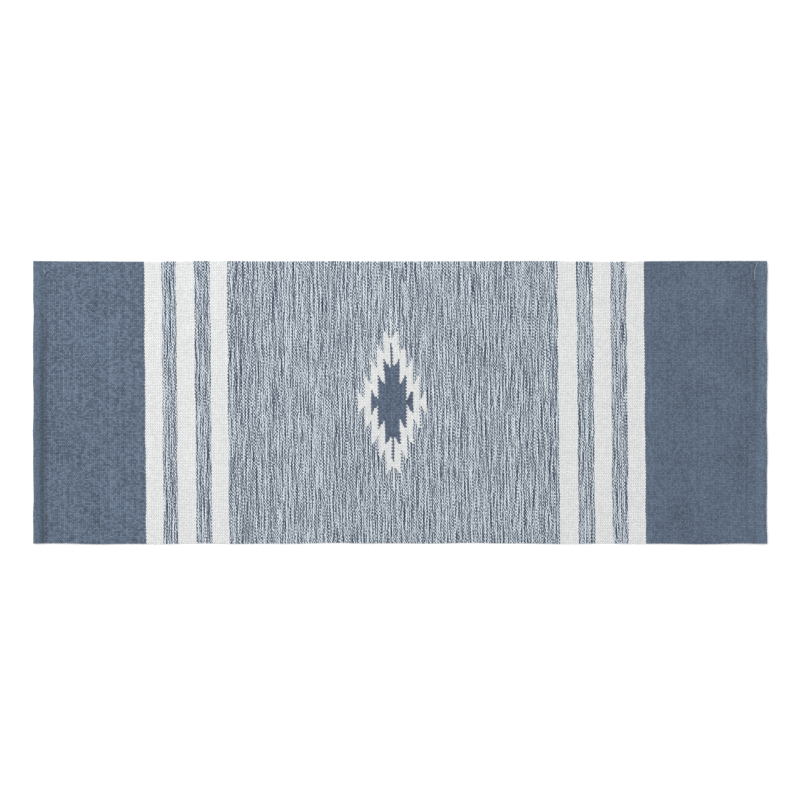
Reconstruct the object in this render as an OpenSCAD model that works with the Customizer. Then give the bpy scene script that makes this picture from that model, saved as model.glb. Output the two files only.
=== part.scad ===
// Flat-woven cotton runner rug: coloured weft bands beaten over parallel warp cords,
// a tapestry medallion in the middle field, a doubled cord along each long edge and
// a turned hem with its lockstitch thread at each end.
// +X runs along the rug, +Y across it, +Z up. The origin is under the middle of the rug.
// Each weft band has one bore for each cord that runs through it.

/* [Cloth] */
// Length of the finished rug, from one hem fold to the other
rug_length = 1820; // [1700:10:2000]
// Width of the rug, from one long edge to the other
rug_width = 700; // [600:10:800]
// Thickness of the woven cloth
cloth_thickness = 4.6; // [4.5:0.1:5.0]

/* [Cords] */
// Distance between the centres of two neighbouring warp cords
warp_pitch = 4.05; // [3.9:0.05:4.5]
// Diameter of one warp cord
warp_diameter = 1.4; // [1.4:0.05:1.5]
// Diameter of the doubled cord inside each long edge
selvedge_diameter = 2.6; // [2:0.1:3]

/* [Left stripes] */
// Blue end block, from the hem fold to the outer white stripe
left_end_length = 278; // [240:1:320]
// White stripe next to the blue end block
left_white_outer = 43.5; // [30:0.5:55]
// Marl stripe next to it
left_marl_outer = 35.5; // [30:0.5:55]
// White stripe in the middle of the group
left_white_middle = 45; // [30:0.5:55]
// Marl stripe next to that
left_marl_inner = 39; // [30:0.5:55]
// White stripe that borders the middle field
left_white_inner = 42.5; // [30:0.5:55]

/* [Right stripes] */
// White stripe that borders the middle field
right_white_inner = 46.5; // [30:0.5:55]
// Marl stripe next to it
right_marl_inner = 40.5; // [30:0.5:55]
// White stripe in the middle of the group
right_white_middle = 43.5; // [30:0.5:55]
// Marl stripe next to that
right_marl_outer = 39.5; // [30:0.5:55]
// White stripe next to the blue end block
right_white_outer = 43.5; // [30:0.5:55]
// Blue end block, from the outer white stripe to the hem fold
right_end_length = 303; // [240:1:320]

/* [Medallion] */
// Distance of the medallion's centre from the middle of the rug, towards +X
medallion_offset = -19.5; // [-40:0.5:40]
// Distance from the medallion's centre line to the innermost step
inner_column = 18.8; // [16:0.2:20]
// Width of every further stepped column
column_width = 16.6; // [14:0.2:18]
// Height that each tooth tip gains over its outer neighbour
tooth_rise = 37.5; // [30:0.5:42]
// Distance of the outermost tooth tip from the medallion's centre line
outer_tip = 31.7; // [28:0.1:36]
// Depth of the notch beside each tooth
notch_depth = 23; // [16:1:26]
// Columns on each side of the white outer figure
white_columns = 5; // [5:1:6]
// Columns on each side of the blue inner figure
blue_columns = 3; // [2:1:3]
// Width of the blue spike at its foot
blue_spike_width = 5; // [3:0.5:8]
// Distance of the blue spike's tip from the medallion's centre
blue_spike_tip = 147; // [130:1:155]
// Width of the white spike at its foot
white_spike_width = 3; // [2:0.5:6]
// Distance of the white spike's tip from the medallion's centre
white_spike_tip = 205; // [190:1:240]

/* [Hems] */
// Width of the turned hem, from the fold to the raw edge beneath
hem_width = 29; // [26:1:36]
// Thickness of one leaf of the hem, which is woven with a finer weft
hem_leaf = 2.3; // [2.2:0.05:2.4]
// Distance of the stitch line from the fold
stitch_inset = 25; // [20:1:25]
// Length of one stitch
stitch_pitch = 5; // [3:0.5:8]
// Part of each stitch's length that shows as thread
stitch_share = 0.7; // [0.5:0.05:0.9]
// Diameter of the sewing thread
thread_diameter = 0.35; // [0.2:0.05:0.35]

/* [Hidden] */

$fn = 24;
// How far a cutting shape reaches past the face it cuts
cut = 1;
blue = [0.38, 0.44, 0.51];
hem_blue = [0.42, 0.48, 0.55];
white = [0.90, 0.90, 0.89];
marl = [0.65, 0.68, 0.72];
cord_colour = [0.86, 0.83, 0.76];
thread_colour = [0.72, 0.76, 0.80];

// Places of the band edges along the rug
x_left = -rug_length / 2;
x_right = rug_length / 2;
x_left_hem = x_left + hem_width;
x_left_1 = x_left + left_end_length;
x_left_2 = x_left_1 + left_white_outer;
x_left_3 = x_left_2 + left_marl_outer;
x_left_4 = x_left_3 + left_white_middle;
x_left_5 = x_left_4 + left_marl_inner;
x_left_6 = x_left_5 + left_white_inner;
x_right_1 = x_right - right_end_length;
x_right_2 = x_right_1 - right_white_outer;
x_right_3 = x_right_2 - right_marl_outer;
x_right_4 = x_right_3 - right_white_middle;
x_right_5 = x_right_4 - right_marl_inner;
x_right_6 = x_right_5 - right_white_inner;
medallion_half = step_x(white_columns);
x_field_a = medallion_offset - medallion_half;
x_field_b = medallion_offset + medallion_half;

// Places of the cords across the rug
cord_z = cloth_thickness / 2;
selvedge_y = rug_width / 2 - cloth_thickness / 2;
warp_room = 2 * (selvedge_y - selvedge_diameter / 2 - warp_diameter);
warp_count = floor(warp_room / warp_pitch) + 1;
function warp_y(i) = (i - (warp_count - 1) / 2) * warp_pitch;

// Heights of the left hem's two leaves; the right hem is its mirror image
leaf_gap = 0.1;
hem_height = 2 * hem_leaf + leaf_gap;
fold_radius = (hem_leaf + leaf_gap) / 2;
fold_x = x_left + hem_height / 2;
fold_z = hem_height / 2;

// Flat cloth with round edges, cut across the rug: across it first, then through the cloth
module cloth_outline(thickness) {
    square([rug_width - thickness, thickness], center = true);
    for (side = [-1, 1])
        translate([side * (rug_width - thickness) / 2, 0]) circle(d = thickness);
}

module warp_section() {
    for (i = [0:warp_count - 1]) translate([warp_y(i), 0]) circle(d = warp_diameter);
}

module selvedge_section(side) {
    translate([side * selvedge_y, 0]) circle(d = selvedge_diameter);
}

// Carries a section straight along the rug, at height z
module straight(x_from, x_to, z) {
    translate([x_from, 0, z]) rotate([90, 0, 90]) linear_extrude(x_to - x_from) children();
}

// Carries a section half a turn round the fold's line, at the left end
module round_fold() {
    translate([fold_x, 0, fold_z]) rotate([90, 0, 0]) rotate([0, 0, 90])
        rotate_extrude(angle = 180) translate([fold_radius, 0]) rotate(90) children();
}

// The upper leaf, the fold and the lower leaf, at the left end
module turned_end() {
    straight(fold_x, x_left_hem, fold_z + fold_radius) children();
    round_fold() children();
    straight(fold_x, x_left_hem, fold_z - fold_radius) children();
}

// A length of plain woven cloth with a bore for every cord
module woven_band(x_from, x_to) {
    straight(x_from, x_to, cord_z) difference() {
        cloth_outline(cloth_thickness);
        warp_section();
        for (side = [-1, 1]) selvedge_section(side);
    }
}

// Folded hem at the left end, with a groove above and below where the stitches pull in
module hem() {
    difference() {
        turned_end() difference() {
            cloth_outline(hem_leaf);
            warp_section();
        }
        for (z = [hem_height - thread_diameter, thread_diameter - cut])
            translate([x_left + stitch_inset - thread_diameter / 2, -rug_width / 2, z])
                cube([thread_diameter, rug_width, cut]);
    }
}

// One warp cord, from the raw edge inside one hem to the raw edge inside the other
module warp_cord(y) {
    straight(x_left_hem, -x_left_hem, cord_z) translate([y, 0]) circle(d = warp_diameter);
    for (end = [0, 1]) mirror([end, 0, 0])
        turned_end() translate([y, 0]) circle(d = warp_diameter);
}

// One third of the warp: 0 is the front third, 1 the middle one, 2 the rear one
module warp_cords(third) {
    share = ceil(warp_count / 3);
    color(cord_colour)
        for (i = [third * share:min((third + 1) * share, warp_count) - 1]) warp_cord(warp_y(i));
}

module selvedge_cord(side) {
    color(cord_colour) straight(x_left_hem, -x_left_hem, cord_z) selvedge_section(side);
}

// One row of stitches lying in its groove, at the left end
module stitch_row(z) {
    count = floor((rug_width - 2 * hem_leaf) / stitch_pitch);
    for (i = [0:count - 1])
        translate([x_left + stitch_inset, (i - (count - 1) / 2) * stitch_pitch, z])
            rotate([90, 0, 0])
                cylinder(d = thread_diameter, h = stitch_share * stitch_pitch, center = true);
}

module needle_thread() {
    color(thread_colour) stitch_row(hem_height - thread_diameter / 2);
}

module bobbin_thread() {
    color(thread_colour) stitch_row(thread_diameter / 2);
}

// Stepped outline: column k rises from its notch to the tooth tip at its outer side, and
// a thin spike leaves the middle notch
function tip(columns, k) = outer_tip + (columns - 1 - k) * tooth_rise;
function step_x(k) = inner_column + (k - 1) * column_width;
function spike(columns, width, spike_tip) = [
    [width / 6, spike_tip],
    [width / 2, tip(columns, 0) - notch_depth * (1 - width / 2 / inner_column)],
    [inner_column, tip(columns, 0)]
];
function teeth(columns) = [
    for (k = [1:columns - 1]) each [
        [step_x(k), tip(columns, k) - notch_depth],
        [step_x(k + 1), tip(columns, k)]
    ]
];
function reversed(list) = [for (i = [len(list) - 1:-1:0]) list[i]];
function right_half(q) = concat(q, reversed([for (p = q) [p[0], -p[1]]]));
function whole(half) = concat(half, reversed([for (p = half) [-p[0], p[1]]]));

module stepped_outline(columns, width, spike_tip) {
    polygon(whole(right_half(concat(spike(columns, width, spike_tip), teeth(columns)))));
}

module white_outline() {
    stepped_outline(white_columns, white_spike_width, white_spike_tip);
}

module blue_outline() {
    stepped_outline(blue_columns, blue_spike_width, blue_spike_tip);
}

// Bores for the warp cords that cross the medallion
module medallion_bores(reach) {
    for (i = [0:warp_count - 1])
        if (abs(warp_y(i)) < reach)
            translate([x_field_a - cut, warp_y(i), cord_z])
                rotate([0, 90, 0])
                    cylinder(d = warp_diameter, h = 2 * (medallion_half + cut));
}

module medallion_plate() {
    translate([medallion_offset, 0, 0]) linear_extrude(cloth_thickness) children();
}

// Marl cloth beside the medallion: side is -1 for the front, 1 for the rear
module field_side(side) {
    difference() {
        intersection() {
            woven_band(x_field_a, x_field_b);
            translate([x_field_a - cut, side > 0 ? 0 : -rug_width, -cut])
                cube([2 * (medallion_half + cut), rug_width, cloth_thickness + 2 * cut]);
        }
        translate([medallion_offset, 0, -cut])
            linear_extrude(cloth_thickness + 2 * cut) white_outline();
    }
}

module medallion_white() {
    color(white) difference() {
        medallion_plate() difference() { white_outline(); blue_outline(); }
        medallion_bores(white_spike_tip + warp_pitch);
    }
}

module medallion_blue() {
    color(blue) difference() {
        medallion_plate() blue_outline();
        medallion_bores(blue_spike_tip + warp_pitch);
    }
}

color(hem_blue) hem();  // left_hem
color(blue) woven_band(x_left_hem, x_left_1);  // left_end_block
color(white) woven_band(x_left_1, x_left_2);  // left_white_stripe_outer
color(marl) woven_band(x_left_2, x_left_3);  // left_marl_stripe_outer
color(white) woven_band(x_left_3, x_left_4);  // left_white_stripe_middle
color(marl) woven_band(x_left_4, x_left_5);  // left_marl_stripe_inner
color(white) woven_band(x_left_5, x_left_6);  // left_white_stripe_inner
color(marl) woven_band(x_left_6, x_field_a);  // field_left
color(marl) field_side(-1);  // field_front
color(marl) field_side(1);  // field_rear
color(marl) woven_band(x_field_b, x_right_6);  // field_right
medallion_white();
medallion_blue();
color(white) woven_band(x_right_6, x_right_5);  // right_white_stripe_inner
color(marl) woven_band(x_right_5, x_right_4);  // right_marl_stripe_inner
color(white) woven_band(x_right_4, x_right_3);  // right_white_stripe_middle
color(marl) woven_band(x_right_3, x_right_2);  // right_marl_stripe_outer
color(white) woven_band(x_right_2, x_right_1);  // right_white_stripe_outer
color(blue) woven_band(x_right_1, -x_left_hem);  // right_end_block
color(hem_blue) mirror([1, 0, 0]) hem();  // right_hem
warp_cords(0);  // warp_cords_front
warp_cords(1);  // warp_cords_middle
warp_cords(2);  // warp_cords_rear
selvedge_cord(-1);  // selvedge_cord_front
selvedge_cord(1);  // selvedge_cord_rear
needle_thread();  // left_needle_thread
bobbin_thread();  // left_bobbin_thread
mirror([1, 0, 0]) needle_thread();  // right_needle_thread
mirror([1, 0, 0]) bobbin_thread();  // right_bobbin_thread
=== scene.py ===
"""Looks of the runner rug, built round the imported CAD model.

Every woven node is replaced by a closed mesh of its own in which each weft float is one bead.
Two wefts cross in a zigzag, so a "ribbon" of two picks runs across the rug and holds one bead
over each warp cord. U counts the ribbons along the rug and V the warp cords across it, and the
materials take their yarn patterns from these two numbers.
"""

import math

import bpy
import numpy as np
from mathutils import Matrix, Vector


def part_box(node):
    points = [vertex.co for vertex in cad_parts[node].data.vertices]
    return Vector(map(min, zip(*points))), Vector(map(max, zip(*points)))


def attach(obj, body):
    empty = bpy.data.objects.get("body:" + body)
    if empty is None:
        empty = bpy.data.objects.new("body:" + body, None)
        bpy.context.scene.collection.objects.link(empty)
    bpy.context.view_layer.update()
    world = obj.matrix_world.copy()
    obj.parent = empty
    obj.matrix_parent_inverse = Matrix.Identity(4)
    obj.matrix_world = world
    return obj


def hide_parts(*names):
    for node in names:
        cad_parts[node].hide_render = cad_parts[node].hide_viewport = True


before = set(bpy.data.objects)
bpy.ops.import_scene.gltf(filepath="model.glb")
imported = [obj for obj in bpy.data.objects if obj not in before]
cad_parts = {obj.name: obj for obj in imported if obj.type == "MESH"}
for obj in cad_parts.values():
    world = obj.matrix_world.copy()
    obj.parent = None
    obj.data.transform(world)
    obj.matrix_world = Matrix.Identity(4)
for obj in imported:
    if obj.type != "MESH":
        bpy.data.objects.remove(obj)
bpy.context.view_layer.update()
rng = np.random.default_rng(11)

# ---------------------------------------------------------------- sizes of the CAD model
block_low, block_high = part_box("left_end_block")
THICKNESS = block_high[2] - block_low[2]
WIDTH = block_high[1] - block_low[1]
HALF_WIDTH = WIDTH / 2
HALF_LENGTH = -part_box("left_hem")[0][0]
HEM_INNER = -block_low[0]
HEM_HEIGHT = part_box("left_hem")[1][2]
HEM_LEAF = 0.0023  # thickness of the cloth in a hem, which holds it twice

# ---------------------------------------------------------------- camera and light
VIEW_WIDTH = 1.9854  # metres of floor across the picture
VIEW_CENTRE = (-0.0003, 0.0058)  # the point of the floor in the middle of the picture
LENS = 85
SENSOR = 36
LIGHT = 1.16  # light falling on the cloth, so that a colour comes out as it is named
KEY_PLACE = (-1.6, 1.9, 3.0)
KEY_SIZE = 2.2
KEY_POWER = 62 * LIGHT
SKY_STRENGTH = 0.88 * LIGHT


def add_camera():
    """A camera that looks straight down."""
    data = bpy.data.cameras.new("camera")
    data.lens = LENS
    data.sensor_width = SENSOR
    camera = bpy.data.objects.new("camera", data)
    camera.location = (*VIEW_CENTRE, VIEW_WIDTH * LENS / SENSOR)
    bpy.context.scene.collection.objects.link(camera)
    bpy.context.scene.camera = camera


def add_key_light():
    """A large soft light at the rear left, aimed at the middle of the rug."""
    data = bpy.data.lights.new("key", "AREA")
    data.size = KEY_SIZE
    data.energy = KEY_POWER
    light = bpy.data.objects.new("key", data)
    light.location = KEY_PLACE
    direction = -np.array(KEY_PLACE)
    light.rotation_euler = (
        math.atan2(math.hypot(direction[0], direction[1]), -direction[2]),
        0,
        math.atan2(direction[1], direction[0]) - math.pi / 2,
    )
    bpy.context.scene.collection.objects.link(light)


def add_world():
    """Even white light from all round."""
    world = bpy.data.worlds.new("studio")
    world.use_nodes = True
    background = world.node_tree.nodes["Background"].inputs
    background["Color"].default_value = (1, 1, 1, 1)
    background["Strength"].default_value = SKY_STRENGTH
    bpy.context.scene.world = world


add_camera()
add_key_light()
add_world()
bpy.context.scene.view_settings.view_transform = "Standard"
bpy.context.view_layer.cycles.use_denoising = False  # it would smear the beads


# ---------------------------------------------------------------- material helpers
def linear(red, green, blue):
    """Colour socket value that comes out as this sRGB colour, given in 0 to 255."""
    values = np.array([red, green, blue]) / 255
    dark = values / 12.92
    bright = ((values + 0.055) / 1.055) ** 2.4
    return (*(float(v) / LIGHT for v in np.where(values <= 0.04045, dark, bright)), 1.0)


CLOUD_SCALE = 9.0  # noise features to the metre in the tone that drifts over the cloth
GAP_START = 0.55  # where the shade of a gap starts, from 0 in a bead's middle to 1 at its edge
PLIES = 4.0  # turn of the plies' pattern for each radian round a bead
PLY_SLANT = 9.0  # turn of the same from one warp cord to the next
FIBRE_STRETCH = 6.0  # how much finer the fibres are across a bead than along it
FIBRE_SCALE = 9.0
RELIEF_DEPTH = 0.00016  # depth of the plies and fibres
WEFT_ROUGHNESS = 0.92


class Nodes:
    """Short calls for the nodes of one material."""

    def __init__(self, name):
        self.material = bpy.data.materials.new(name)
        self.material.use_nodes = True
        self.tree = self.material.node_tree
        self.shader = self.tree.nodes["Principled BSDF"]

    def put(self, socket, value):
        """Links a socket to another one, or gives it a value."""
        if isinstance(value, bpy.types.NodeSocket):
            self.tree.links.new(value, socket)
        else:
            socket.default_value = value

    def calc(self, operation, *values):
        node = self.tree.nodes.new("ShaderNodeMath")
        node.operation = operation
        for socket, value in zip(node.inputs, values):
            self.put(socket, value)
        return node.outputs[0]

    def scale(self, value, start, stop, first, last):
        """Goes smoothly from first to last while value goes from start to stop."""
        node = self.tree.nodes.new("ShaderNodeMapRange")
        node.interpolation_type = "SMOOTHSTEP"
        for socket, number in zip(node.inputs[:5], (value, start, stop, first, last)):
            self.put(socket, number)
        return node.outputs["Result"]

    def mix(self, factor, first, second, blend="MIX"):
        node = self.tree.nodes.new("ShaderNodeMix")
        node.data_type = "RGBA"
        node.blend_type = blend
        values = {"Factor_Float": factor, "A_Color": first, "B_Color": second}
        for socket in node.inputs:
            if socket.identifier in values:
                self.put(socket, values[socket.identifier])
        return next(s for s in node.outputs if s.identifier == "Result_Color")

    def vector(self, x, y, z=0.0):
        node = self.tree.nodes.new("ShaderNodeCombineXYZ")
        for socket, value in zip(node.inputs, (x, y, z)):
            self.put(socket, value)
        return node.outputs[0]

    def grey(self, value):
        """A brightness as a colour."""
        return self.vector(value, value, value)

    def attribute(self, name):
        node = self.tree.nodes.new("ShaderNodeAttribute")
        node.attribute_name = name
        return node

    def chance(self, x, y):
        """A number from 0 to 1 that jumps at random from one (x, y) to the next."""
        node = self.tree.nodes.new("ShaderNodeTexWhiteNoise")
        node.noise_dimensions = "2D"
        self.put(node.inputs["Vector"], self.vector(x, y))
        return node.outputs["Value"]

    def noise(self, vector, scale, detail=0.0):
        node = self.tree.nodes.new("ShaderNodeTexNoise")
        node.noise_dimensions = "3D"
        self.put(node.inputs["Vector"], vector)
        self.put(node.inputs["Scale"], scale)
        self.put(node.inputs["Detail"], detail)
        return node.outputs["Fac"]

    def spread(self, value, width):
        """value, which runs from 0 to 1, as a deviation of up to half of width."""
        return self.calc("MULTIPLY", self.calc("SUBTRACT", value, 0.5), width)

    def place(self):
        """Where a point lies on the rug."""
        return self.tree.nodes.new("ShaderNodeTexCoord").outputs["Object"]

    def split(self, vector):
        node = self.tree.nodes.new("ShaderNodeSeparateXYZ")
        self.put(node.inputs[0], vector)
        return node.outputs

    def total(self, *values):
        result = values[0]
        for value in values[1:]:
            result = self.calc("ADD", result, value)
        return result

    def bump(self, height, distance):
        node = self.tree.nodes.new("ShaderNodeBump")
        self.put(node.inputs["Height"], height)
        node.inputs["Distance"].default_value = distance
        self.put(self.shader.inputs["Normal"], node.outputs["Normal"])


class Weave(Nodes):
    """Nodes that know which bead of the weave they colour."""

    def __init__(self, name):
        super().__init__(name)
        weave = self.split(self.attribute("weave").outputs["Vector"])
        self.u, self.v = weave["X"], weave["Y"]
        self.ribbon = self.calc("FLOOR", self.u)
        self.warp = self.calc("FLOOR", self.calc("ADD", self.v, 0.5))
        self.odd = self.calc("MODULO", self.warp, 2.0)
        self.pick = self.calc("MULTIPLY_ADD", self.ribbon, 2.0, self.odd)
        # The place in a bead: across it and along it from -1 to 1, and the angle round it, which
        # stops just short of a right angle.
        inside = self.calc("SUBTRACT", self.u, self.ribbon)
        self.across = self.calc("MULTIPLY_ADD", inside, 2.0, -1.0)
        self.along = self.calc("MULTIPLY", self.calc("SUBTRACT", self.v, self.warp), 2.0)
        self.turn = self.calc("ARCSINE", self.calc("MULTIPLY", self.across, 0.99))

    def shade(self, painted_gap_shade, bead, pick, cloud):
        """Brightness: painted shade in the gaps between beads, and tone that varies by bead, pick
        and area.
        """
        edge = self.calc("MAXIMUM", self.calc("ABSOLUTE", self.across),
                         self.calc("ABSOLUTE", self.along))
        return self.total(
            # painted shade in the gaps between beads
            self.scale(edge, GAP_START, 1.0, 1.0, 1.0 - painted_gap_shade),
            self.spread(self.chance(self.ribbon, self.warp), bead),
            self.spread(self.chance(self.pick, 3.5), pick),
            self.spread(self.noise(self.place(), CLOUD_SCALE, 2.0), cloud),
        )

    def wander(self, along, across, layer, detail=0.0):
        """Noise over the two given numbers; each layer has noise of its own."""
        return self.noise(self.vector(along, across, layer), 1.0, detail)

    def finish(self, colour, tone):
        """The cotton's surface in this colour, darkened by tone, with its plies and fibres."""
        stretched = self.calc("MULTIPLY", self.u, FIBRE_STRETCH)
        fibre = self.noise(self.vector(stretched, self.v), FIBRE_SCALE, 3.0)
        slant = self.calc("MULTIPLY", self.v, PLY_SLANT)
        plies = self.calc("SINE", self.calc("MULTIPLY_ADD", self.turn, PLIES, slant))
        self.bump(self.calc("MULTIPLY_ADD", fibre, 0.8, plies), RELIEF_DEPTH)
        shaded = self.mix(1.0, colour, self.grey(tone), "MULTIPLY")
        self.put(self.shader.inputs["Base Color"], shaded)
        roughness = self.scale(fibre, 0.2, 0.8, WEFT_ROUGHNESS - 0.06, WEFT_ROUGHNESS)
        self.put(self.shader.inputs["Roughness"], roughness)
        self.shader.inputs["Sheen Weight"].default_value = 0.25
        self.shader.inputs["Sheen Roughness"].default_value = 0.5
        self.shader.inputs["Specular IOR Level"].default_value = 0.15
        return self.material


# ---------------------------------------------------------------- materials
BLUE = linear(102, 117, 137)
BLUE_DARK = linear(99, 114, 134)
BLUE_MEDALLION = linear(96, 110, 131)
BLUE_HEM = linear(105, 122, 142)
WHITE = linear(235, 236, 236)
MARL_BLUE = linear(51, 69, 93)
MARL_WHITE = linear(239, 248, 255)
THREAD_BLUE = linear(86, 101, 122)
THREAD_PALE = linear(222, 228, 234)
FLOOR_WHITE = 0.93

PAINTED_HEM_REACH = 0.040  # how far from the fold the painted light and shade of a hem reach into the cloth
# Painted light and shade for each end: its side, the brightness painted at distances from the
# fold, and how strong it is (from one y to another y, the strength at the first and at the
# second).
PAINTED_HEM_LIGHT_AND_SHADE = {
    "left": (
        -1,
        (
            (0.0, 1.12), (0.004, 0.98), (0.012, 0.82), (0.019, 0.68), (0.025, 0.56),
            (0.029, 0.74), (PAINTED_HEM_REACH, 1.0),
        ),
        (0.06, 0.34, 1.0, 0.25),
    ),
    "right": (
        1,
        (
            (0.0, 1.14), (0.010, 1.04), (0.022, 0.90), (0.0275, 0.86), (0.0305, 0.70),
            (0.0335, 0.92), (PAINTED_HEM_REACH, 1.0),
        ),
        (-0.12, 0.05, 0.30, 1.0),
    ),
}
BRIGHTEST_PAINTED_HEM_LIGHT = 1.25  # the ramp holds the painted brightnesses as shares of this one, since it stops at 1


def painted_hem_light_and_shade(weave, end):
    """Painted light and shade near a hem: lighter at its fold and darker where it rounds down to
    the seam that pinches it.
    """
    side, tones, strength = PAINTED_HEM_LIGHT_AND_SHADE[end]
    place = weave.split(weave.place())
    inset = weave.calc("MULTIPLY_ADD", place["X"], -side / PAINTED_HEM_REACH, HALF_LENGTH / PAINTED_HEM_REACH)
    ramp = weave.tree.nodes.new("ShaderNodeValToRGB")
    weave.put(ramp.inputs["Fac"], inset)
    elements = ramp.color_ramp.elements
    for distance, _ in tones[1:-1]:
        elements.new(distance / PAINTED_HEM_REACH)
    for element, (_, tone) in zip(elements, tones):
        element.color = (*[tone / BRIGHTEST_PAINTED_HEM_LIGHT] * 3, 1.0)
    change = weave.calc("MULTIPLY_ADD", ramp.outputs["Color"], BRIGHTEST_PAINTED_HEM_LIGHT, -1.0)
    return weave.calc("MULTIPLY_ADD", weave.scale(place["Y"], *strength), change, 1.0)


def plain_weft(name, colour, painted_gap_shade, bead, pick, cloud, end=None):
    """Weft yarn of one colour; end names the hem that lies in or beside the cloth, whose painted
    light and shade it gets.
    """
    weave = Weave(name)
    tone = weave.shade(painted_gap_shade, bead, pick, cloud)
    # Painted light and shade near the hem's fold and seam, where end is given.
    if end:
        tone = weave.calc("MULTIPLY", tone, painted_hem_light_and_shade(weave, end))
    return weave.finish(colour, tone)


# How far the winding of the marl's two colours turns, in radians.
WINDING = 2.4  # across a bead, for each radian round it
WINDING_SLANT = 0.4  # from the middle of a bead to its end
RIBBON_SPREAD = 8.0  # how much it differs between ribbons
SECOND_SPREAD = 4.2  # between the two picks of a ribbon
SLOW_SPREAD = 8.0  # along a pick, over tens of beads
QUICK_SPREAD = 3.5  # along a pick, over a few beads
BEAD_SPREAD = 2.2  # between beads
# How fast its noises change for each warp cord, ribbon or pick.
SLOW_STEP = 0.05
QUICK_STEP = 0.27
STREAK_STEP = 0.07
RIBBON_STEP = 0.6
SWAP_STEP = 0.45
PICK_STEP = 17.3  # so far that picks have nothing in common
# What is added to the sine of the winding, whose sign says which colour is on top.
STREAK_SPREAD = 2.0  # one colour for a length of a pick
SWAP_SPREAD = 2.5  # the same with neighbouring ribbons against each other
BLUE_LEAN = -0.16
COLOUR_CHANGE = (-0.22, 0.26)  # where blue ends and where white starts


def marl_weft(name):
    """Weft of blue and white yarns wound together: the colour seen depends on the winding.

    The phase of the winding is nearly the same in every bead of a pick. It wanders slowly along
    each pick, and neighbouring ribbons run against each other, so that light lies beside dark.
    """
    weave = Weave(name)
    wound = weave.calc("ADD", weave.calc("SINE", marl_phase(weave)), marl_lean(weave))
    share = weave.scale(wound, *COLOUR_CHANGE, 0.0, 1.0)
    share = weave.calc("MAXIMUM", share, weave.attribute("pale").outputs["Fac"])
    yarn = weave.mix(share, MARL_BLUE, MARL_WHITE)
    return weave.finish(yarn, weave.shade(0.40, 0.06, 0.05, 0.10))


def marl_phase(weave):
    """Angle of the winding on top of a bead."""
    pick = weave.calc("MULTIPLY", weave.pick, PICK_STEP)
    slow = weave.wander(weave.calc("MULTIPLY", weave.v, SLOW_STEP), pick, 0.0)
    quick = weave.wander(weave.calc("MULTIPLY", weave.v, QUICK_STEP), pick, 5.5)
    start = weave.wander(weave.calc("MULTIPLY", weave.ribbon, RIBBON_STEP), 0.0, 3.3)
    second = weave.spread(weave.chance(weave.ribbon, 9.5), SECOND_SPREAD)
    return weave.total(
        weave.calc("MULTIPLY", weave.along, WINDING_SLANT),
        weave.calc("MULTIPLY", weave.ribbon, math.pi),
        weave.spread(start, RIBBON_SPREAD),
        weave.calc("MULTIPLY", weave.odd, second),
        weave.spread(slow, SLOW_SPREAD),
        weave.spread(quick, QUICK_SPREAD),
        weave.spread(weave.chance(weave.warp, weave.pick), BEAD_SPREAD),
        weave.calc("MULTIPLY", weave.turn, WINDING),
    )


def marl_lean(weave):
    """What makes one colour win for a while, so that it shows as a streak."""
    along = weave.calc("MULTIPLY", weave.v, STREAK_STEP)
    pick = weave.calc("MULTIPLY", weave.pick, PICK_STEP)
    ribbon = weave.calc("MULTIPLY", weave.ribbon, SWAP_STEP)
    streak = weave.wander(along, pick, 11.5, 1.0)
    swap = weave.wander(along, ribbon, 21.5)
    sign = weave.calc("MULTIPLY_ADD", weave.calc("MODULO", weave.ribbon, 2.0), -2.0, 1.0)
    swapped = weave.calc("MULTIPLY", sign, weave.spread(swap, SWAP_SPREAD))
    return weave.total(weave.spread(streak, STREAK_SPREAD), swapped, BLUE_LEAN)


def sewing_thread(name):
    """Twisted sewing thread, paler where the end of the seam is sewn over twice."""
    nodes = Nodes(name)
    pale = nodes.attribute("pale").outputs["Fac"]
    twist = nodes.noise(nodes.place(), 2500.0, 1.0)
    colour = nodes.mix(pale, THREAD_BLUE, THREAD_PALE)
    tone = nodes.scale(twist, 0.3, 0.7, 0.85, 1.05)
    shaded = nodes.mix(1.0, colour, nodes.grey(tone), "MULTIPLY")
    nodes.put(nodes.shader.inputs["Base Color"], shaded)
    nodes.bump(twist, 0.00008)
    nodes.shader.inputs["Roughness"].default_value = 0.7
    nodes.shader.inputs["Sheen Weight"].default_value = 0.2
    return nodes.material


def floor_material():
    nodes = Nodes("floor")
    nodes.shader.inputs["Base Color"].default_value = (*[FLOOR_WHITE] * 3, 1)
    nodes.shader.inputs["Roughness"].default_value = 1.0
    nodes.shader.inputs["Specular IOR Level"].default_value = 0.0
    return nodes.material


# The end blocks and hems carry painted light and shade near their hems; the two hem wefts differ
# only in it.
blue_left = plain_weft("blue_weft_left", BLUE, 0.45, 0.54, 0.24, 0.34, "left")
blue_right = plain_weft("blue_weft_right", BLUE_DARK, 0.40, 0.42, 0.18, 0.40, "right")
blue_medallion = plain_weft("blue_weft_medallion", BLUE_MEDALLION, 0.40, 0.60, 0.24, 0.16)
hem_wefts = {
    end: plain_weft(f"hem_weft_{end}", BLUE_HEM, 0.40, 0.42, 0.20, 0.20, end)
    for end in ("left", "right")
}
white_weft = plain_weft("white_weft", WHITE, 0.36, 0.12, 0.04, 0.04)
marl = marl_weft("marl_weft")
thread = sewing_thread("sewing_thread")

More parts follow.
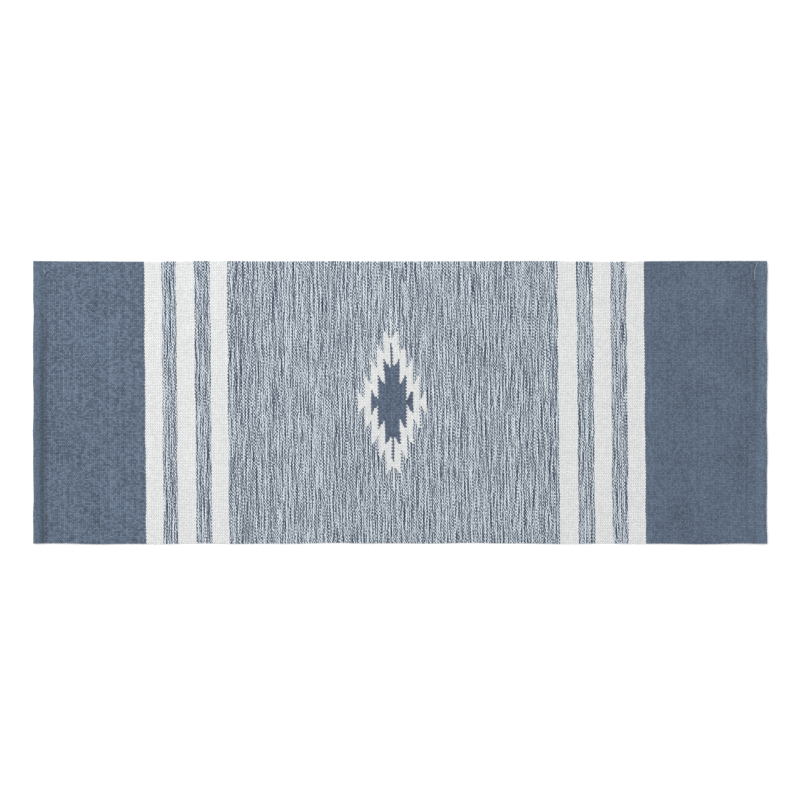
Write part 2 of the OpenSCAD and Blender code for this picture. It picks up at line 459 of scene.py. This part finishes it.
# ---------------------------------------------------------------- the cloth's geometry
RIBBON = 0.0037  # length of two picks along the rug
COARSE_RIBBON = 0.00496  # the same in the left end block
WHITE_RIBBON = 0.00424  # the same in the white stripes
HEM_RIBBON = 0.0029  # the same in the finer hem
COLUMNS = 173  # warp cords, and the doubled cord in each long edge
ZIGZAG = 0.25  # how far a bead sits from its ribbon's middle line, as a share of the ribbon
JOINT_ZIGZAG = 0.0009  # the same in metres where a hem meets the open cloth
GAP_DEPTH = 0.00065  # depth of the gap between two beads of a column
SHOULDER = 0.35  # height of a bead where it dives beside its warp cord, as a share of GAP_DEPTH
UNEVENNESS = 0.00007  # how much the beads differ in height
EDGE_WALL = 0.0006  # half the height left flat at the very edge
SCALLOP = 0.0004  # how far the long edge goes in between two ribbons
EDGE_REACH = 0.001  # how near the long edge a point is for that
# Where the mesh cuts each bead, as shares of its length and width.
TOP_CUTS = (0.0, 0.22, 0.78)
UNDER_CUTS = (0.0, 0.5)

WEFT_LEAN = 0.0065  # how far the wefts run to the left between the front and the rear edge
# Waves as (height, turns per metre along x, turns per metre along y, start).
BEAT_WAVES = ((0.0005, 3.1, 4.3, 0.4), (0.0004, 7.7, 9.1, 2.0), (0.00025, 19.0, 15.0, 1.1))
REAR_WAVES = ((0.0005, 1.7, 0, 5.3), (0.0004, 2.4, 0, 2.9), (0.0003, 3.7, 0, 5.8))
FRONT_WAVES = ((0.0009, 0.7, 0, 1.5), (0.0006, 2.8, 0, 4.4), (0.0005, 6.0, 0, 1.8))
LIE_WAVES = ((0.0006, 4.3, 1.1, 0.2), (0.0005, 1.7, 5.3, 1.7), (0.0003, 9.1, 3.9, 3.0))
LIE_HEIGHT = 0.0014  # mean height of the ends' underside over the floor
MIDDLE_SHARE = 0.35  # how much of that, and of the waves, the middle of the rug has

BANDS = (
    "left_end_block", "left_white_stripe_outer", "left_marl_stripe_outer",
    "left_white_stripe_middle", "left_marl_stripe_inner", "left_white_stripe_inner",
    "field_left", "field_front", "field_right",
    "right_white_stripe_inner", "right_marl_stripe_inner", "right_white_stripe_middle",
    "right_marl_stripe_outer", "right_white_stripe_outer", "right_end_block",
)


def waves(x, y, parts):
    """Height of the sum of these waves."""
    return sum(h * np.sin(2 * math.pi * (a * x + b * y) + c) for h, a, b, c in parts)


def placed(x, y):
    """Where a point of the flat cloth comes to lie: the wefts lean a little and the edges wave."""
    lean = WEFT_LEAN * (1 - np.abs(x / HALF_LENGTH) ** 6)
    side = y / WIDTH
    beat = waves(x, y, BEAT_WAVES)
    rear = waves(x, 0, REAR_WAVES)
    front = waves(x, 0, FRONT_WAVES)
    return x - lean * side + beat, y + rear * (0.5 + side) + front * (0.5 - side)


def lift(x, y):
    """Height of the cloth's underside over the floor: it never lies quite flat."""
    share = MIDDLE_SHARE + (1 - MIDDLE_SHARE) * np.abs(x / HALF_LENGTH) ** 4
    return (LIE_HEIGHT + waves(x, y, LIE_WAVES)) * share


def cuts_of(edges, cuts):
    """Every cut of every cell: its cell coordinate and its place."""
    count = len(edges) - 1
    cell = np.append((np.arange(count)[:, None] + np.array(cuts)).ravel(), count)
    return cell, np.interp(cell, np.arange(count + 1), edges)


def spread_beads(values, step):
    """One number for each bead, carried to the points inside it; points on its border get none."""
    ribbons, columns = values.shape
    out = np.zeros((ribbons * step + 1, columns * step + 1))
    for a in range(1, step):
        for b in range(1, step):
            out[a:-1:step, b:-1:step] = values
    return out


def relief(cuts, ribbons, columns):
    """How far each point lies below the top of its bead."""
    step = len(cuts)
    along = np.where(np.arange(ribbons * step + 1) % step == 0, 0.0, 1.0)
    across = np.where(np.arange(columns * step + 1) % step == 0, SHOULDER, 1.0)
    return GAP_DEPTH * (1 - np.outer(along, across))


def rounded(height, y, radius):
    """height, kept inside the round long edge."""
    inset = np.clip(HALF_WIDTH - np.abs(y), 0, radius)
    return np.minimum(height, np.sqrt(np.maximum(radius**2 - (radius - inset) ** 2, EDGE_WALL**2)))


column_edges = np.linspace(-HALF_WIDTH, HALF_WIDTH, COLUMNS + 1)


def skin(edges, cuts, thickness, side, path, uneven):
    """One face of the cloth as a grid of points, and the weave coordinates of each.

    path gives (x, z, normal x, normal z) of the cloth's middle surface for places along the rug.
    side is 1 for the face that the normal points out of, and -1 for the other.
    """
    cell_u, s = cuts_of(edges, cuts)
    cell_v, y = cuts_of(column_edges, cuts)
    lengths = edges[1:] - edges[:-1]
    middle_bends = ZIGZAG * (lengths[1:] + lengths[:-1]) / 2
    bends = np.concatenate([[JOINT_ZIGZAG], middle_bends, [JOINT_ZIGZAG]])
    bend = np.interp(cell_u, np.arange(len(edges)), bends)[:, None]
    s2 = s[:, None] + bend * np.cos(math.pi * (cell_v - 0.5))[None, :]
    y2 = np.broadcast_to(y[None, :], s2.shape)
    depth = relief(cuts, len(edges) - 1, COLUMNS)
    height = thickness / 2 - depth + spread_beads(uneven, len(cuts))
    height = rounded(height, y2, thickness / 2)
    scallop = np.where(np.arange(len(s)) % len(cuts) == 0, SCALLOP, 0.0)[:, None]
    y2 = y2 - np.sign(y2) * scallop * (np.abs(y2) > HALF_WIDTH - EDGE_REACH)
    x, z, normal_x, normal_z = path(s2, y2)
    flat_x = x + side * height * normal_x
    new_x, new_y = placed(flat_x, y2)
    new_z = z + side * height * normal_z + lift(flat_x, y2)
    points = np.stack([new_x, new_y, new_z], -1)
    weave = np.stack(np.broadcast_arrays(cell_u[:, None], cell_v[None, :] - 0.5), -1)
    return points, weave


def flat_path(s, y):
    """The middle surface of the open cloth."""
    return s, np.full_like(s, THICKNESS / 2), np.zeros_like(s), np.ones_like(s)


FOLD_RADIUS = HEM_HEIGHT / 2
LEAF_RUN = HALF_LENGTH - FOLD_RADIUS - HEM_INNER  # length of each leaf
HEM_RUN = 2 * LEAF_RUN + math.pi * FOLD_RADIUS
STITCH_LINE = HALF_LENGTH - 0.025  # distance of the seams from the middle of the rug
STITCH_PITCH = 0.005
PINCH = 0.0006  # depth to which the seam pulls each leaf in
PINCH_REACH = 0.003
STITCH_PUCKER = 0.00015  # how much that depth varies from stitch to stitch
SEAM_PUCKER = 0.00015  # and over several stitches
SEAM_PUCKER_TURN = 97  # radians to the metre


def pinch(distance):
    """How far the seam pulls the cloth in at this distance from it, as a share of PINCH."""
    return np.exp(-((distance / PINCH_REACH) ** 2))


def left_hem_path(s, y):
    """The middle surface of the left hem: in beneath, round the fold and back on top."""
    mid = FOLD_RADIUS - HEM_LEAF / 2
    angle = np.clip((s - LEAF_RUN) / FOLD_RADIUS, 0, math.pi)
    before = np.maximum(LEAF_RUN - s, 0)
    after = np.maximum(s - LEAF_RUN - math.pi * FOLD_RADIUS, 0)
    normal_x, normal_z = -np.sin(angle), -np.cos(angle)
    x = -HALF_LENGTH + FOLD_RADIUS + mid * normal_x + before + after
    z = FOLD_RADIUS + mid * normal_z
    pucker = STITCH_PUCKER * np.sin(2 * math.pi * y / STITCH_PITCH)
    pucker = pucker + SEAM_PUCKER * np.sin(y * SEAM_PUCKER_TURN)
    pull = (PINCH + pucker) * pinch(np.abs(x) - STITCH_LINE)
    return x, z - normal_z * pull, normal_x, normal_z


def right_hem_path(s, y):
    """The left hem's, turned about, so that it starts on top and ends beneath."""
    x, z, normal_x, normal_z = left_hem_path(HEM_RUN - s, y)
    return -x, z, -normal_x, normal_z


# ---------------------------------------------------------------- meshes of beads
# The four sides of a bead: whether its neighbour there lies along V rather than U, and which way.
SIDES = ((False, 1), (False, -1), (True, 1), (True, -1))


class Bead_grid:
    """Both faces of a length of cloth, from which pieces take their beads."""

    def __init__(self, edges, first_ribbon, thickness, path):
        uneven = rng.normal(0, UNEVENNESS, (len(edges) - 1, COLUMNS))
        self.top, top_weave = skin(edges, TOP_CUTS, thickness, 1, path, uneven)
        self.under, under_weave = skin(edges, UNDER_CUTS, thickness, -1, path, uneven)
        self.points = np.concatenate([self.top.reshape(-1, 3), self.under.reshape(-1, 3)])
        self.weave = np.concatenate([top_weave.reshape(-1, 2), under_weave.reshape(-1, 2)])
        self.weave[:, 0] += first_ribbon

    def top_index(self, i, k):
        return i * self.top.shape[1] + k

    def under_index(self, i, k):
        return self.top.shape[0] * self.top.shape[1] + i * self.under.shape[1] + k

    def quads(self, cells, index, step, flip):
        """The faces of these beads on one side of the cloth."""
        faces = []
        for a in range(step):
            for b in range(step):
                i, k = cells[:, 0] * step + a, cells[:, 1] * step + b
                ring = [index(i, k), index(i + 1, k), index(i + 1, k + 1), index(i, k + 1)]
                faces.append(np.stack(ring[::-1] if flip else ring, -1))
        return np.concatenate(faces)

    def walls(self, cells, along, towards):
        """Faces that close the cloth on one side of these beads, from top to underside.

        along and towards name the side as in SIDES.
        """
        top_step, under_step = len(TOP_CUTS), len(UNDER_CUTS)
        ring = []
        for step, index, order in (
            (top_step, self.top_index, range(top_step + 1)),
            (under_step, self.under_index, range(under_step, -1, -1)),
        ):
            for n in order:
                if along:
                    i, k = cells[:, 0] * step + n, (cells[:, 1] + (towards > 0)) * step
                else:
                    i, k = (cells[:, 0] + (towards > 0)) * step, cells[:, 1] * step + n
                ring.append(index(i, k))
        faces = np.stack(ring, -1)
        outward = (along and towards > 0) or (not along and towards < 0)
        return faces if outward else faces[:, ::-1]

    def piece(self, name, mask, material, pale=None):
        """A closed mesh of the beads where mask is true."""
        cells = np.argwhere(mask)
        groups = [
            self.quads(cells, self.top_index, len(TOP_CUTS), False),
            self.quads(cells, self.under_index, len(UNDER_CUTS), True),
        ]
        for along, towards in SIDES:
            neighbour = np.roll(np.pad(mask, 1), -towards, int(along))[1:-1, 1:-1]
            groups.append(self.walls(np.argwhere(mask & ~neighbour), along, towards))
        repeats = (len(TOP_CUTS) ** 2, len(UNDER_CUTS) ** 2)
        marks = None
        if pale is not None:
            marks = np.concatenate([np.tile(pale[mask], n) for n in repeats])
        return build_mesh(name, self.points, self.weave, groups, material, marks)


def build_mesh(name, points, weave, groups, material, marks=None):
    """A mesh object from groups of faces; the first two groups are smooth and the rest flat."""
    smooth = len(groups[0]) + len(groups[1])
    corners = np.concatenate([g.ravel() for g in groups])
    sizes = np.concatenate([np.full(len(g), g.shape[1]) for g in groups]).astype(np.int64)
    used, corners = np.unique(corners, return_inverse=True)
    mesh = bpy.data.meshes.new(name)
    mesh.vertices.add(len(used))
    mesh.vertices.foreach_set("co", points[used].astype(np.float32).ravel())
    mesh.loops.add(len(corners))
    mesh.loops.foreach_set("vertex_index", corners.astype(np.int32))
    mesh.polygons.add(len(sizes))
    starts = np.concatenate([[0], np.cumsum(sizes)[:-1]]).astype(np.int32)
    mesh.polygons.foreach_set("loop_start", starts)
    mesh.update(calc_edges=True)
    flat = np.arange(len(sizes)) >= smooth
    mesh.attributes.new("sharp_face", "BOOLEAN", "FACE").data.foreach_set("value", flat)
    if weave is not None:
        store = mesh.attributes.new("weave", "FLOAT2", "POINT").data
        store.foreach_set("vector", weave[used].astype(np.float32).ravel())
    if marks is not None:
        values = np.zeros(len(sizes), np.float32)
        values[:len(marks)] = marks
        mesh.attributes.new("pale", "FLOAT", "FACE").data.foreach_set("value", values)
    mesh.materials.append(material)
    obj = bpy.data.objects.new(name, mesh)
    bpy.context.scene.collection.objects.link(obj)
    return obj


def cloth_piece(obj, nodes):
    """Hangs a woven piece on the root body and hides the CAD nodes it stands for."""
    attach(obj, "root")
    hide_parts(*nodes)


# ---------------------------------------------------------------- the open cloth
def ribbon_length(band):
    """Length of two picks in this band."""
    if band == "left_end_block":
        return COARSE_RIBBON
    return WHITE_RIBBON if "white" in band else RIBBON


def band_edges():
    """Ribbon edges of the whole open cloth, and the first ribbon of every band."""
    edges, firsts = [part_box(BANDS[0])[0][0]], []
    for band in BANDS:
        box_low, box_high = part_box(band)
        count = round((box_high[0] - box_low[0]) / ribbon_length(band))
        firsts.append(len(edges) - 1)
        edges += list(np.linspace(box_low[0], box_high[0], count + 1)[1:])
    return np.array(edges), firsts + [len(edges) - 1]


# The medallion's two figures are made of columns that end in teeth, as they are in CAD.
INNER_COLUMN = 0.0188  # half the width of the middle column
COLUMN_WIDTH = 0.0166
MEDALLION_X = (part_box("medallion_white")[1][0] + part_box("medallion_white")[0][0]) / 2
TOOTH_RISE = 0.0375  # from one column's tooth to the next one's
OUTER_TIP = 0.0317  # the outermost column's tooth
NOTCH_DEPTH = 0.026
BLUE_COLUMNS = 3
WHITE_COLUMNS = 5
BLUE_SPIKE = 0.0038  # half the width of a spike at its foot
WHITE_SPIKE = 0.0019
MEDALLION_LEAN = 0.0085  # how much more than the wefts it runs to the left, per metre to the rear
STRAY_LEAN = 0.0093  # the same for the stray white picks
WHITE_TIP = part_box("medallion_white")[1][1]
BLUE_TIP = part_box("medallion_blue")[1][1]


def in_steps(x, y, columns):
    """True inside the stepped outline: every column slopes up to a tooth at its outer side."""
    outer = 1 + (np.abs(x) - INNER_COLUMN) / COLUMN_WIDTH
    place = np.where(np.abs(x) < INNER_COLUMN, np.abs(x) / INNER_COLUMN, outer)
    column = np.floor(place)
    tooth = OUTER_TIP + (columns - 1 - column) * TOOTH_RISE
    limit = tooth - NOTCH_DEPTH * (1 - (place - column))
    return (place < columns) & (np.abs(y) < limit)


def in_spike(x, y, columns, half_width, tip):
    """True inside the thin spike that leaves the middle notch."""
    foot = OUTER_TIP + (columns - 1) * TOOTH_RISE - NOTCH_DEPTH
    taper = np.clip((tip - np.abs(y)) / (tip - foot), 0, 1)
    width = RIBBON / 2 + (half_width - RIBBON / 2) * taper
    return (np.abs(x) < width) & (np.abs(y) < tip)


def figure(x, y, columns, half_width, tip):
    """True inside one of the medallion's figures."""
    return in_steps(x, y, columns) | in_spike(x, y, columns, half_width, tip)


edges, firsts = band_edges()
open_cloth = Bead_grid(edges, 0, THICKNESS, flat_path)
ribbon_middle = (edges[1:] + edges[:-1]) / 2
column_middle = (column_edges[1:] + column_edges[:-1]) / 2
swing = ZIGZAG * RIBBON * np.cos(math.pi * np.arange(COLUMNS))
bead_x = ribbon_middle[:, None] + swing[None, :]
bead_y = np.broadcast_to(column_middle[None, :], bead_x.shape)

figure_x = bead_x - MEDALLION_X + MEDALLION_LEAN * bead_y
blue_figure = figure(figure_x, bead_y, BLUE_COLUMNS, BLUE_SPIKE, BLUE_TIP)
white_figure = figure(figure_x, bead_y, WHITE_COLUMNS, WHITE_SPIKE, WHITE_TIP)
white_figure &= ~blue_figure

ribbon_number = np.arange(len(ribbon_middle))[:, None]


def band_mask(band):
    """The beads of a band, without the medallion's."""
    n = BANDS.index(band)
    inside = (ribbon_number >= firsts[n]) & (ribbon_number < firsts[n + 1])
    return np.broadcast_to(inside, bead_x.shape) & ~blue_figure & ~white_figure


def stray_line(x, y_from, y_to):
    """Beads of a single white pick that strays into the marl field."""
    near = np.abs(bead_x - x + STRAY_LEAN * bead_y) < RIBBON / 2
    return near & (bead_y > y_from) & (bead_y < y_to)


stray = stray_line(MEDALLION_X - 0.001, WHITE_TIP - 0.01, 0.327)
stray |= stray_line(MEDALLION_X + 0.035, 0.213, 0.298)
stray |= stray_line(MEDALLION_X + 0.0005, -0.220, -WHITE_TIP + 0.01)
stray = stray.astype(float) * rng.uniform(0.55, 1.0, stray.shape)


def make_band(band, material, slot, *cords):
    """The woven piece of one band, which also stands for these cords inside the cloth."""
    pale = stray if material is marl else None
    obj = open_cloth.piece("woven_" + band, band_mask(band), material, pale)
    cloth_piece(obj, (band, *cords))


make_band("left_end_block", blue_left, "blue_weft")
make_band("right_end_block", blue_right, "blue_weft")
for end in ("left", "right"):
    for stripe in ("outer", "middle", "inner"):
        make_band(f"{end}_white_stripe_{stripe}", white_weft, "white_weft")
    for stripe in ("outer", "inner"):
        make_band(f"{end}_marl_stripe_{stripe}", marl, "marl_weft")
cords = ("warp_cords_front", "warp_cords_middle", "warp_cords_rear")
make_band("field_left", marl, "marl_weft", *cords)
make_band("field_right", marl, "marl_weft", "selvedge_cord_front", "selvedge_cord_rear")

medallion_band = band_mask("field_front")
for node, half in (("field_front", bead_y < 0), ("field_rear", bead_y > 0)):
    mask = medallion_band & half
    side_piece = open_cloth.piece("woven_" + node, mask, marl, stray)
    cloth_piece(side_piece, (node,))

white_piece = open_cloth.piece("woven_medallion_white", white_figure, white_weft)
cloth_piece(
    white_piece,
    ("medallion_white",),
)
blue_piece = open_cloth.piece("woven_medallion_blue", blue_figure, blue_medallion)
cloth_piece(
    blue_piece,
    ("medallion_blue",),
)

# ---------------------------------------------------------------- hems and their stitches
hem_count = round(HEM_RUN / HEM_RIBBON)
hem_edges = np.linspace(0, HEM_RUN, hem_count + 1)
for end, path, first in (
    ("left", left_hem_path, -hem_count),
    ("right", right_hem_path, len(edges) - 1),
):
    hem = Bead_grid(hem_edges, first, HEM_LEAF, path)
    hem_piece = hem.piece(f"woven_{end}_hem", np.ones((hem_count, COLUMNS), bool), hem_wefts[end])
    cloth_piece(hem_piece, (f"{end}_hem",))

THREAD = 0.00035
TACK_THREAD = 0.0009  # the thread where it is sewn over several times
STITCH_LENGTH = 0.7 * STITCH_PITCH  # the part of a stitch that shows
STITCH_BITE = 0.3 * THREAD  # how deep its middle line lies in the cloth
STITCH_SINK = 0.0004  # how much deeper its ends are
STITCH_RINGS = 7
STITCH_SIDES = 6


def stitch_rings(x, z, y_middle, length, sink, thread_width):
    """Rings of points round one stitch, whose ends dive into the cloth."""
    rings = []
    for t in np.linspace(-1, 1, STITCH_RINGS):
        y = y_middle + t * length / 2
        centre_x, centre_y = placed(np.float64(x), np.float64(y))
        centre_z = z + lift(np.float64(x), np.float64(y)) - sink * t**4
        for n in range(STITCH_SIDES):
            angle = 2 * math.pi * n / STITCH_SIDES
            rings.append((
                centre_x + thread_width / 2 * math.cos(angle),
                centre_y,
                centre_z + thread_width / 2 * math.sin(angle),
            ))
    return rings


def stitch_faces(start):
    """Faces between the rings of the stitch whose first point is start."""
    faces = []
    for ring in range(start, start + (STITCH_RINGS - 1) * STITCH_SIDES, STITCH_SIDES):
        for n in range(STITCH_SIDES):
            a, b = ring + n, ring + (n + 1) % STITCH_SIDES
            faces.append((a, b, b + STITCH_SIDES, a + STITCH_SIDES))
    return faces


# Where the seam is sewn over: y of the first stitch, their number, and how far in from the seam
# the first of them lies. They drift further in from one to the next, up to TACK_DRIFT_END.
TACKS = {"left": (0.3275, 2, 0.0022), "right": (0.3460, 9, 0.0004)}
TACK_DRIFT = 0.0015
TACK_DRIFT_END = 0.0055


def stitch_row(end, kind, side, top):
    """One row of stitches on the top or the underside of a hem, with its tacks at the rear end."""
    points, faces, pale = [], [], []
    count = int((WIDTH - 2 * HEM_LEAF) / STITCH_PITCH)
    rows = [((n - (count - 1) / 2) * STITCH_PITCH, 0.0, THREAD) for n in range(count)]
    if top:
        first_y, tacks, first_inset = TACKS[end]
        for n in range(tacks):
            inset = min(first_inset + n * TACK_DRIFT, TACK_DRIFT_END)
            rows.append((first_y - n * STITCH_PITCH, inset, TACK_THREAD))
    for y, inset, width in rows:
        new_faces = stitch_faces(len(points))
        depth = PINCH * pinch(inset) + STITCH_BITE
        z = HEM_HEIGHT - depth if top else depth
        sink = STITCH_SINK if top else -STITCH_SINK
        points += stitch_rings(side * (STITCH_LINE - inset), z, y, STITCH_LENGTH, sink, width)
        faces += new_faces
        pale += [float(width > THREAD)] * len(new_faces)
    quads = np.array(faces)
    name = f"{end}_{kind}_stitches"
    obj = build_mesh(name, np.array(points), None, [quads, quads[:0]], thread, np.array(pale))
    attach(obj, "root")
    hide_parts(f"{end}_{kind}_thread")


for end, side in (("left", -1), ("right", 1)):
    stitch_row(end, "needle", side, True)
    stitch_row(end, "bobbin", side, False)


# ---------------------------------------------------------------- floor
FLOOR_REACH = 20.0


def add_floor():
    mesh = bpy.data.meshes.new("floor")
    signs = ((-1, -1), (1, -1), (1, 1), (-1, 1))
    corners = [(a * FLOOR_REACH, b * FLOOR_REACH, 0) for a, b in signs]
    mesh.from_pydata(corners, [], [(0, 1, 2, 3)])
    mesh.materials.append(floor_material())
    floor = bpy.data.objects.new("floor", mesh)
    bpy.context.scene.collection.objects.link(floor)


add_floor()
